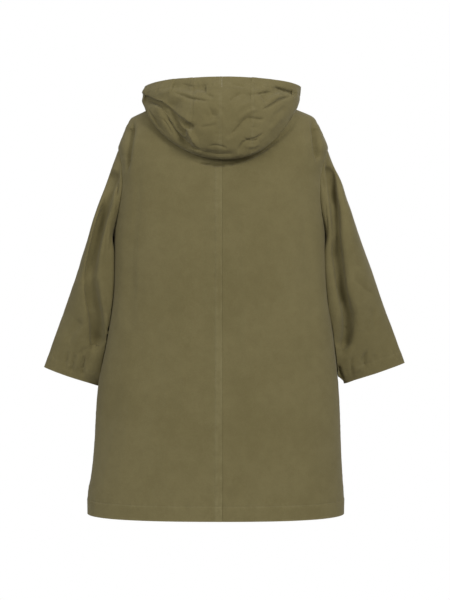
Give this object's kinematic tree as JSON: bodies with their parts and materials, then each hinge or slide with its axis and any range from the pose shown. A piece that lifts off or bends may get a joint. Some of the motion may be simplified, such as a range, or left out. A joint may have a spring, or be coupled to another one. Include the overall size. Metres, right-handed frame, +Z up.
{
  "type": "hooded parka",
  "caption": "Roomy hooded coat held in its worn shape, hood lying down at the back, straight sleeves, a seam down the back and a plain buttoned front.",
  "frame": {"origin": "middle of the neck, level with the inner ends of the shoulder seams, where the wearer's shoulders hold the coat up", "axes": "+Z up, +Y out of the garment's back, -Y out of its front, +X to the wearer's left"},
  "size_m": [0.892, 0.312, 1.0411],
  "materials": {
    "cloth": "matte olive cotton, garment dyed, fine plain weave",
    "button": "dark brown turned resin, satin"
  },
  "bodies": {
    "root": {"back_left": "cloth", "back_right": "cloth", "front_left": "cloth", "front_right": "cloth", "sleeve_left": "cloth", "sleeve_right": "cloth", "hood_centre_left": "cloth", "hood_centre_right": "cloth", "hood_side_left": "cloth", "hood_side_right": "cloth", "button_1": "button", "button_2": "button", "button_3": "button", "button_4": "button", "button_5": "button"}
  },
  "joints": []
}
